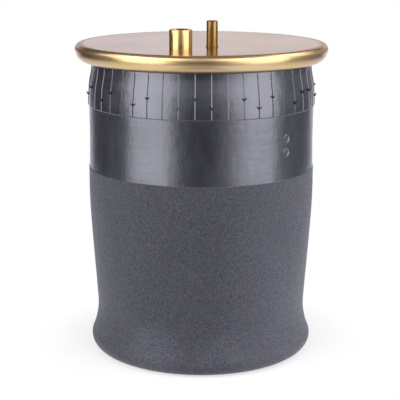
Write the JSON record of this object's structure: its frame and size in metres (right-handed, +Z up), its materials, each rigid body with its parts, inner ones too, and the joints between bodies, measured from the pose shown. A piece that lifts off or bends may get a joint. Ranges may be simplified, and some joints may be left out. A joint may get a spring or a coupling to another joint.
{
  "type": "air suspension spring",
  "caption": "Rolling-lobe rubber air spring with a crimped steel top plate, air inlet boss, mounting stud and a smaller closure plate with a bumper rolled up inside.",
  "frame": {"origin": "on the sleeve's axis, at the height of the lowest point of the rolled lobe", "axes": "+Z up along the sleeve's axis towards the top plate, -Y towards the viewer of the picture, +X to the right"},
  "size_m": [0.28, 0.28, 0.375],
  "materials": {
    "gold_zinc": "yellow-passivated zinc plating, glossy",
    "bead_wire": "bronze-coated wire ring",
    "cover_rubber": "moulded black-grey rubber, smooth above and fine-grained below",
    "liner_rubber": "plain calendered rubber",
    "cord_fabric": "rubberised cord ply",
    "bumper_rubber": "moulded rubber",
    "plain_steel": "bright zinc-plated steel"
  },
  "bodies": {
    "top": {"top_bead_plate": "gold_zinc", "air_inlet_boss": "gold_zinc", "air_inlet_weld": "gold_zinc", "mounting_stud": "gold_zinc", "mounting_stud_weld": "gold_zinc", "upper_bead_core": "bead_wire", "upper_bead_filler": "liner_rubber", "outer_cover": "cover_rubber", "cord_ply_outer": "cord_fabric", "cord_ply_inner": "cord_fabric", "inner_liner": "liner_rubber"},
    "end_closure": {"lower_bead_plate": "gold_zinc", "lower_bead_core": "bead_wire", "lower_bead_filler": "liner_rubber", "blind_nuts": "plain_steel", "bumper": "bumper_rubber", "bumper_base_plate": "plain_steel", "bumper_stud": "plain_steel", "bumper_washer": "plain_steel", "bumper_nut": "plain_steel"}
  },
  "joints": [
    {"name": "stroke", "type": "slide", "parent": "top", "child": "end_closure", "axis": [0, 0, 1], "range_m": [-0.1, 0.17], "stiffness_N_per_m": 5000, "deforming": ["outer_cover", "cord_ply_outer", "cord_ply_inner", "inner_liner"]}
  ]
}
